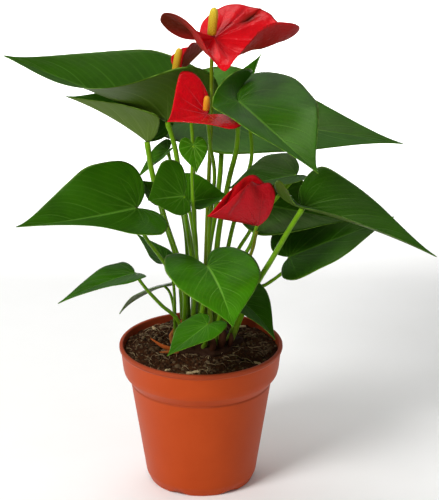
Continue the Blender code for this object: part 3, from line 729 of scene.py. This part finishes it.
def fan(joint, belly, rim, thickness, fold, **facts):
    """A closed sheet from a joint to a rim: each ray is a straight line to the rim point, bowed
    to the belly point by a parabola and sunk by fold mm. The two faces meet at the rim."""
    belly, rim = (catmull_rom(points, FAN_STEPS, closed=True) for points in (belly, rim))
    share = np.linspace(0, 1, FAN_ROWS)[:, None, None]
    joint = np.array(joint, float)
    bend = 4 * share * (1 - share) * (belly - (joint + rim) / 2)
    middle = joint + share * (rim - joint) + bend
    middle = middle - fan_normals(middle) * fold[..., None]
    offset = fan_normals(middle) * 0.5 * thickness * np.sqrt(1 - share**8)
    uv = even_grid(FAN_ROWS, FAN_STEPS)
    uv = np.concatenate([uv, uv[::-1]])
    points = np.concatenate([middle + offset, (middle - offset)[::-1]])
    under = np.concatenate([np.zeros(middle.shape[:2]), np.ones(middle.shape[:2])])
    facts = {name: np.concatenate([value, value[::-1]]) for name, value in facts.items()}
    return shell(points, uv, under=under, **facts)


# %% Ribs, pinched fold with its painted shade, and dusky side of the top spathe
# Places on the rim are numbers of TOP_RIM's points, and places along a ray are shares of it.
TOP_RIBS = ((1.5, 0.35), (13.5, 0.3), (15.5, 0.4), (17.2, 0.5), (18.9, 0.9), (22.0, 0.3), (31.5, 0.6),
            (33.3, 0.4))  # where each rib ends on the rim, and how bold it is
RIB_SPREAD, RIB_DEPTH = 0.13, 0.8
PINCH_DEPTH, RIDGE_HEIGHT = 5.5, 1.2
FAR_FROM_JOINT = 200  # mm ahead, past the reach of the fan of main veins
rim_place, from_joint = np.meshgrid(np.linspace(0, RIM_POINTS, FAN_STEPS), np.linspace(0, 1, FAN_ROWS))
ribs = sum(bold * bell(rim_place, end, RIB_SPREAD) for end, bold in TOP_RIBS) * (1 - from_joint) ** 0.4
pinch = bell(rim_place, 20.3, 1.15) * bell(from_joint, 0.74, 0.26)
ridge = bell(rim_place, 18.4, 0.8) * bell(from_joint, 0.75, 0.25)
# The dusky colour is underside colour on the left, where the rim rolls over, and painted shade in the
# pinched fold.
dusk = np.clip(bell(rim_place, 7.5, 3.4) * (from_joint > 0.35) + 1.3 * pinch**1.4, 0, 1)
fold = PINCH_DEPTH * pinch - RIDGE_HEIGHT * ridge + RIB_DEPTH * ribs * np.sin(np.pi * from_joint)
item = fan(TOP_JOINT, TOP_BELLY, TOP_RIM, SPATHE_THICKNESS, fold, dusk=dusk, ribs=np.clip(ribs, 0, 1),
           ahead=np.full_like(ribs, FAR_FROM_JOINT))
add_piece("flower_top_spathe_sheet", item, lacquered_spathe, "spathe", "flower_top_spathe")
print("top spathe ribs:", len(TOP_RIBS))

# %% Spadices
# Foot, tip, radius, and how orange it is from 0 to 1.
SPADICES = {
    "flower_top": ((8, -27, 356), (10, -27, 376), 3.4, 0.0),
    "flower_back": ((-18, 13, 315), (-15, 15, 331), 2.9, 0.15),
    "flower_mid": ((4, -37, 303), (5, -39, 314), 2.4, 0.8),
    "flower_bud": ((41, -48, 233), (31, -52, 240), 1.6, 0.3),
}


def spadix(foot, tip, radius, tone):
    """A bar whose radius follows a blunt spindle: it grows a little towards the tip, and is
    multiplied by the root of one minus the seventh power of the share of the length."""
    foot, tip = np.array(foot, float), np.array(tip, float)
    share = np.linspace(0, 1, 26) ** 0.8
    radii = radius * (0.92 + 0.1 * share) * np.sqrt(1 - np.clip(share, 0, 0.999) ** 7)
    return bar(foot + share[:, None] * (tip - foot), radii, 24, tone=tone)


for name, spec in SPADICES.items():
    add_piece(f"{name}_spadix_spike", spadix(*spec), pebbled_spadix, "spadix", f"{name}_spadix")
print("spadices:", len(SPADICES))

# %% Flower stalks
# Foot on the crown, points passed, end, radius, and how brown it is from 0 to 1.
FLOWER_STALKS = {
    "flower_top": ((2, 7), ((4, 0, 181), (6, -2, 241), (8, -12, 293), (8, -22, 333)), (9, -26, 349),
                   1.7, 0.35),
    "flower_back": ((-2, 21), ((-4, 15, 176), (-5, 11, 233), (-7, 8, 279)), (-14, 14, 308), 1.6, 0.1),
    "flower_mid": ((7, 0), ((6, -7, 193), (10, -9, 241), (7, -22, 270)), (5, -31, 294), 1.6, 0.1),
    "flower_bud": ((14, 0), ((23, -16, 158), (36, -36, 192)), (40, -47, 214), 1.5, 0.6),
}
for name, spec in FLOWER_STALKS.items():
    item = stalk(*spec, FLOWER_KNUCKLE)
    add_piece(f"{name}_stalk_bar", item, smooth_stalk, "flower_stalk", f"{name}_stalk")
print("flower stalks:", len(FLOWER_STALKS))

# %% [markdown]
# ## Pot
# The pot is turned: a profile of radius and height, with each corner rounded, is carried round
# the axis. Under the foot, shallow scoops let water run out from the drain holes, so the lowest
# points rise on a parabola across each scoop.

# %% A profile carried round the axis
# (radius, height) from the middle of the underside, up the outside, and down the inside.
POT_PROFILE = (
    (0, 0), (36.6, 0), (37.4, 0.8), (40.3, 7), (51.5, 77.6), (51.1, 78.4), (52.4, 80.4), (56.2, 85.2),
    (57.2, 89), (58.8, 103), (60, 104), (60, 106.2), (59.2, 107), (57.2, 107), (55.6, 90), (50, 79),
    (38.7, 7), (35.8, 3.1), (0, 3.1),
)
POT_SIDES, CORNER_SIZE = 192, 1.2


def rounded(profile, size):
    """Each inner corner becomes a short parabola that starts and ends size mm from it, or a
    third of the way along a shorter side."""
    profile = np.array(profile, float)
    corner, before, after = profile[1:-1], profile[:-2], profile[2:]
    sides = [np.linalg.norm(end - corner, axis=1)[:, None] for end in (before, after)]
    reach = [np.minimum(size, length / 3) for length in sides]
    start, stop = corner + unit(before - corner) * reach[0], corner + unit(after - corner) * reach[1]
    t = np.linspace(0, 1, 5)[None, :, None]
    arcs = (1 - t) ** 2 * start[:, None] + 2 * t * (1 - t) * corner[:, None] + t**2 * stop[:, None]
    return np.concatenate([profile[:1], arcs.reshape(-1, 2), profile[-1:]])


def turned(profile, sides):
    """The profile carried round Z: x = r cos a, y = r sin a, z = height."""
    angle = np.linspace(0, 2 * math.pi, sides + 1)[None, :]
    radius, height = profile[:, :1], profile[:, 1:]
    return np.stack([radius * np.cos(angle), radius * np.sin(angle), height + 0 * angle], -1)


# %% The pot, with its scoops, lip and crease
SCOOP_ANGLES = 4 + 60 * np.arange(6)
SCOOP_HALF_WIDTH, SCOOP_RISE, SCOOP_RADIUS = 8.0, 2.2, 30
FOOT_HEIGHT = 3.0
LIP_HEIGHT, LIP_RADIUS = 103.5, 57.0
CREASE_HEIGHTS, CREASE_RADIUS = (77.3, 78.9), 50.6
points = turned(rounded(POT_PROFILE, CORNER_SIZE), POT_SIDES)
height, radius = points[..., 2], np.hypot(points[..., 0], points[..., 1])
angle = np.degrees(np.arctan2(points[..., 1], points[..., 0]))
apart = np.abs((angle[..., None] - SCOOP_ANGLES + 180) % 360 - 180).min(-1)
rise = SCOOP_RISE * np.clip(1 - (np.radians(apart) * radius / SCOOP_HALF_WIDTH) ** 2, 0, 1)
rise = rise * np.clip((radius - SCOOP_RADIUS) / 3, 0, 1)
foot = (height < FOOT_HEIGHT) & (radius > SCOOP_RADIUS)
points[..., 2] = np.where(foot, np.maximum(height, rise), height)
lip = (height > LIP_HEIGHT) & (radius > LIP_RADIUS)
# A thin ring at the collar's crease gets the lip's darker colour too, as painted shade.
crease = (height > CREASE_HEIGHTS[0]) & (height < CREASE_HEIGHTS[1]) & (radius > CREASE_RADIUS)
item = shell(points, lip=np.maximum(lip, 0.9 * crease))
pot = add_piece("pot_wall", item, moulded_polypropylene, "pot", "pot")
print("pot faces:", len(pot.data.polygons))

# %% [markdown]
# ## Soil
# Peat soil is crumbs, fibres and flakes of bark. One rough surface closes the pot, and loose
# crumbs, fibres and flakes lie on it. Each kind is one small shape that is copied with its own
# place, size and turn, all at once as an array.

# %% The soil's surface
SOIL_PROFILE = ((0, 3.6), (35, 3.6), (38.2, 7.2), (49.4, 79), (55, 90), (56.4, 101))
SOIL_RADIUS, SOIL_SIDES = 56.2, 240
SOIL_LEVEL, SOIL_DROP = 105.2, 3.2  # height in the middle, and how much less at the wall


def soil_height(x, y):
    """Level in the middle, sloping to the wall, with three sizes of waves for the lumps."""
    radius = np.hypot(x, y)
    flat = np.stack([x, y, 0 * x], -1)
    slope = SOIL_LEVEL - SOIL_DROP * np.clip((radius - 36) / 20, 0, 1)
    return slope + 0.7 * waves(flat, 17, 1) + 0.5 * waves(flat, 6, 2) + 0.35 * waves(flat, 2.6, 3)


side_rows = turned(rounded(SOIL_PROFILE, 1.0), SOIL_SIDES)
top_rows = turned(np.stack([np.linspace(SOIL_RADIUS, 0, 80), np.zeros(80)], -1), SOIL_SIDES)
top_rows[..., 2] = soil_height(top_rows[..., 0], top_rows[..., 1])
soil_surface = shell(np.concatenate([side_rows, top_rows]))
print("soil surface points:", len(soil_surface["points"]))

# %% Crumbs, fibres and flakes
rng = np.random.default_rng(7)


def scatter(count, inner, outer):
    """Random places on the soil in a ring, evenly spread by area."""
    radius = np.sqrt(rng.uniform(inner**2, outer**2, count))
    angle = rng.uniform(0, 2 * math.pi, count)
    x, y = radius * np.cos(angle), radius * np.sin(angle)
    return np.stack([x, y, soil_height(x, y)], -1)


def many_bars(paths, radii, sides, pale):
    """Many small bars at once: paths is an array of bars, points and coordinates, and each
    bar's first and last rings shrink to a point."""
    tangent = unit(np.gradient(paths, axis=1))
    over = unit(np.cross(tangent, np.array([0.1, 0.2, 1.0])))
    side = np.cross(over, tangent)
    angle = np.linspace(0, 2 * math.pi, sides + 1)[None, None, :, None]
    ring = np.cos(angle) * side[:, :, None] + np.sin(angle) * over[:, :, None]
    points = paths[:, :, None] + radii[..., None, None] * ring
    return joined([shell(item, pale=shade) for item, shade in zip(points, pale)])


def crumbs(count, size):
    """Small rough balls: bars of five rings, whose radii are a ball's times random shares."""
    centre = scatter(count, 8, 55)
    tilt = unit(rng.normal(size=(count, 3)) * (1, 1, 0.4))
    scale = size * rng.uniform(0.5, 1.6, count)
    step = np.array([-1, -0.7, 0, 0.7, 1])[None, :, None]
    width = np.array([0, 0.72, 1, 0.65, 0]) * scale[:, None] * rng.uniform(0.6, 1.0, (count, 5))
    paths = centre[:, None] + step * tilt[:, None] * scale[:, None, None]
    return many_bars(paths, width, 5, rng.uniform(0, 0.16, count) ** 2 * 8)


def fibres(count, length, radius):
    """Thin bars that lie on the soil and curve: their heading turns evenly along them."""
    centre = scatter(count, 20, 53) + (0, 0, 0.8)
    heading = rng.uniform(0, 2 * math.pi, count)
    step = np.linspace(-0.5, 0.5, 7)[None, :] * length * rng.uniform(0.4, 1.5, (count, 1))
    bend = heading[:, None] + step * rng.uniform(-0.12, 0.12, (count, 1))
    rise = 0.9 * rng.uniform(0, 1, (count, 1)) * np.cos(step * 0.5)
    offset = np.stack([step * np.cos(bend), step * np.sin(bend), rise], -1)
    paths = centre[:, None] + offset
    keep = np.hypot(paths[..., 0], paths[..., 1]).max(1) < 55.5
    width = np.array([0, 0.8, 1, 1, 1, 0.8, 0]) * radius * rng.uniform(0.6, 1.3, (count, 1))
    return many_bars(paths[keep], width[keep], 4, rng.uniform(0.35, 1.0, keep.sum()))


def flakes(places):
    """Flat chips of bark at chosen places: (x, y, heading in degrees, length, width). Half the
    width falls off with the square of the distance from the middle, and waves warp the chip."""
    shells = []
    u, v = np.meshgrid(np.linspace(-0.5, 0.5, 8), np.linspace(-1, 1, 9), indexing="ij")
    for x, y, heading, length, width in places:
        turn = math.radians(heading)
        along = np.array([math.cos(turn), math.sin(turn), 0.06])
        over = np.array([-math.sin(turn), math.cos(turn), 0.1])
        centre = np.array([x, y, soil_height(x, y) + 1.2])
        half = width * (0.5 - 0.9 * u**2)
        middle = centre + u[..., None] * length * along + (v * half)[..., None] * over
        middle[..., 2] += 0.25 * waves(middle, 4, 9)
        shells.append(sheet(middle, 0.9, pale=0.75))
    return joined(shells)


# %% The soil as one piece
# Counts and sizes: fine and coarse crumbs, then fibres (length, radius), then flakes of bark.
FLAKES = ((-6, -46, 15, 11, 3.5), (41, -27, 150, 7, 3.5), (34, -42, 75, 4, 2), (-24, -42, 40, 5, 2),
          (30, 38, 20, 7, 3.5), (-35, 32, 100, 6, 3))
soil_parts = [soil_surface, crumbs(1300, 0.9), crumbs(160, 1.7), fibres(130, 12, 0.14), flakes(FLAKES)]
soil = add_piece("soil_plug", joined(soil_parts), dark_peat, "soil", "potting_soil")
print("soil faces:", len(soil.data.polygons))

# %% [markdown]
# ## Crown and dry pieces
# The crown is where the stalks crowd together: a low lumpy mound of brown stem. Short green
# sheaths clasp the stalks' feet, and old ones have dried to papery strips. A strip is a sheet
# whose rows cross a path, bent on an arc so that it still clasps what it grew round.

# %% The crown
CROWN_CENTRE, CROWN_RADIUS = (2.0, 5.0), 26.5
CROWN_FOOT, CROWN_RISE = 104.9, 5.6
u, v = np.moveaxis(even_grid(30, 97), -1, 0)
v = 2 * math.pi * v
reach = CROWN_RADIUS * np.sin(np.clip(u * 1.9, 0, math.pi / 2))
reach = reach * np.where(u > 0.97, 1 - (u - 0.97) / 0.03, 1)
reach = reach * (1 + 0.07 * np.sin(5 * v + 1) + 0.05 * np.sin(9 * v + 2))
lift = CROWN_FOOT + CROWN_RISE * np.cos(np.clip(u * 1.62, 0, math.pi / 2)) ** 0.8
points = np.stack([CROWN_CENTRE[0] + reach * np.cos(v), CROWN_CENTRE[1] + reach * np.sin(v), lift], -1)
points[..., 2] += (0.9 * waves(points, 7, 4) + 0.4 * waves(points, 2.5, 5)) * np.sin(np.pi * u) ** 0.5
crown = add_piece("crown_mound", shell(points, dark=0.97), dry_sheath, "crown", "crown")
print("crown faces:", len(crown.data.polygons))


# %% Sheaths
STRIP_ROWS, SHEATH_THICKNESS = 24, 0.5


def strip(path, widths, wrap, **facts):
    """A sheet along a path: each row is an arc of the given width that turns through wrap
    degrees, and its middle lies on the path."""
    path, share = catmull_rom(path, STRIP_ROWS), np.linspace(0, 1, STRIP_ROWS)
    widths = np.interp(share, np.linspace(0, 1, len(widths)), widths)[:, None]
    tangent = unit(np.gradient(path, axis=0))
    over = unit(np.cross(tangent, np.array([0.2, 1.0, 0.1])))
    face = np.cross(over, tangent)
    turn = math.radians(wrap) * np.linspace(-0.5, 0.5, 9)[None, :]
    radius = widths / math.radians(wrap)
    middle = path[:, None] + (radius * np.sin(turn))[..., None] * over[:, None]
    middle = middle + (radius * (1 - np.cos(turn)))[..., None] * face[:, None]
    return sheet(middle, SHEATH_THICKNESS, **facts)


upright = [
    strip(((-15, -9, 106), (-17, -10, 118), (-14, -12, 131)), (7, 6, 0.6), 150, pale=0.05),
    strip(((-12, -12, 107), (-12, -14, 115), (-8, -16, 124)), (6, 5, 0.5), 130, dark=0.1),
    strip(((-20, -4, 106), (-22, -5, 114), (-20, -8, 122)), (5, 4, 0.4), 120, pale=0.15),
]
add_piece("dry_sheath_upright_strips", joined(upright), dry_sheath, "sheath", "dry_sheath_upright")
lying = [
    strip(((-18, -14, 107), (-27, -15, 110), (-37, -12, 116)), (4.5, 4, 0.5), 90),
    strip(((-16, -18, 107), (-24, -22, 109), (-30, -24, 110)), (3.5, 3, 0.4), 90, pale=0.1),
]
add_piece("dry_sheath_lying_strips", joined(lying), dry_sheath, "sheath", "dry_sheath_lying")
print("sheath strips:", len(upright) + len(lying))

# %% Resting buds
# Each bud's path and its radius. The radius follows part of a sine wave to the power of 0.7.
BUDS = ((((14, -12, 108), (16, -13, 118), (15, -12, 128)), 2.8),
        (((8, -17, 107), (9, -19, 115), (8, -19, 122)), 2.4),
        (((20, -8, 107), (22, -10, 114), (22, -10, 120)), 2.2))
BUD_ROWS = 16
bud_shape = np.sin(np.pi * np.clip(np.linspace(0, 1, BUD_ROWS) * 0.8 + 0.22, 0, 1)) ** 0.7
buds = [bar(catmull_rom(path, BUD_ROWS), radius * bud_shape, 14, dark=0.93) for path, radius in BUDS]
add_piece("resting_bud_tips", joined(buds), dry_sheath, "sheath", "resting_bud")

# %% [markdown]
# ## Floor, light and camera
# The plant stands on a plain pale floor under soft studio light: a key lamp high on the left, a
# weak fill lamp on the right, one above and behind, and an even pale surrounding. A fourth lamp
# shines away from the plant on the floor behind it, so that the background stays white. The
# camera looks down by 22 degrees from 3 m with a long lens, which keeps the pot's sides nearly
# parallel.

# %% Floor
FLOOR_HALF = 4
floor_mesh = bpy.data.meshes.new("floor")
floor_corners = [(x * FLOOR_HALF, y * FLOOR_HALF, 0) for x, y in ((-1, -1), (1, -1), (1, 1), (-1, 1))]
floor_mesh.from_pydata(floor_corners, [], [(0, 1, 2, 3)])
floor = bpy.data.objects.new("floor", floor_mesh)
bpy.context.scene.collection.objects.link(floor)
(tree,) = new_material("pale_floor")
floor_colour = node(tree, "Mix", speckle(tree, 0.02), "#F7F7F5", "#FBFBFA")
floor_mesh.materials.append(finish_material("pale_floor", floor_colour, 0.8))
print("floor:", 2 * FLOOR_HALF, "m wide")

# %% Lights
PLANT_MIDDLE = (0, 0, 0.2)
# Place and aim in metres, size in metres, and power in watts.
LIGHTS = {
    "key_light": ((-1.2, -1.4, 1.6), PLANT_MIDDLE, 0.8, 47),
    "fill_light": ((1.5, -1.2, 0.9), PLANT_MIDDLE, 1.2, 2),
    "top_light": ((-0.2, 0.7, 1.8), PLANT_MIDDLE, 1.0, 11),
    "floor_light": ((0.1, 0.95, 0.9), (0.1, 2.35, 0), 1.2, 30),
}
SURROUNDING = 0.34
for name, (place, aim, size, power) in LIGHTS.items():
    lamp = bpy.data.lights.new(name, "AREA")
    lamp.size, lamp.energy = size, power
    item = bpy.data.objects.new(name, lamp)
    item.location = place
    item.rotation_euler = (Vector(aim) - Vector(place)).to_track_quat("-Z", "Y").to_euler()
    bpy.context.scene.collection.objects.link(item)
world = bpy.data.worlds.new("studio")
bpy.context.scene.world = world
world.use_nodes = True
background = world.node_tree.nodes["Background"]
fill(world.node_tree, background.inputs["Color"], "#FFFFFF")
fill(world.node_tree, background.inputs["Strength"], SURROUNDING)
bpy.context.scene.view_settings.view_transform = "Standard"
print("lights:", len(LIGHTS))

# %% Camera
CAMERA_AIM = Vector((0.0136, 0, 0.1806))
CAMERA_PITCH = math.radians(22.2)
CAMERA_DISTANCE = 3.0
SENSOR_WIDTH, LENS = 36, 297  # mm
camera_data = bpy.data.cameras.new("camera")
camera_data.sensor_width = SENSOR_WIDTH
camera_data.lens = LENS
camera = bpy.data.objects.new("camera", camera_data)
back = Vector((0, -math.cos(CAMERA_PITCH), math.sin(CAMERA_PITCH)))
camera.location = CAMERA_AIM + CAMERA_DISTANCE * back
camera.rotation_euler = (math.pi / 2 - CAMERA_PITCH, 0, 0)
camera_data.clip_end = 20
bpy.context.scene.collection.objects.link(camera)
bpy.context.scene.camera = camera
print("camera:", [round(value, 3) for value in camera.location])
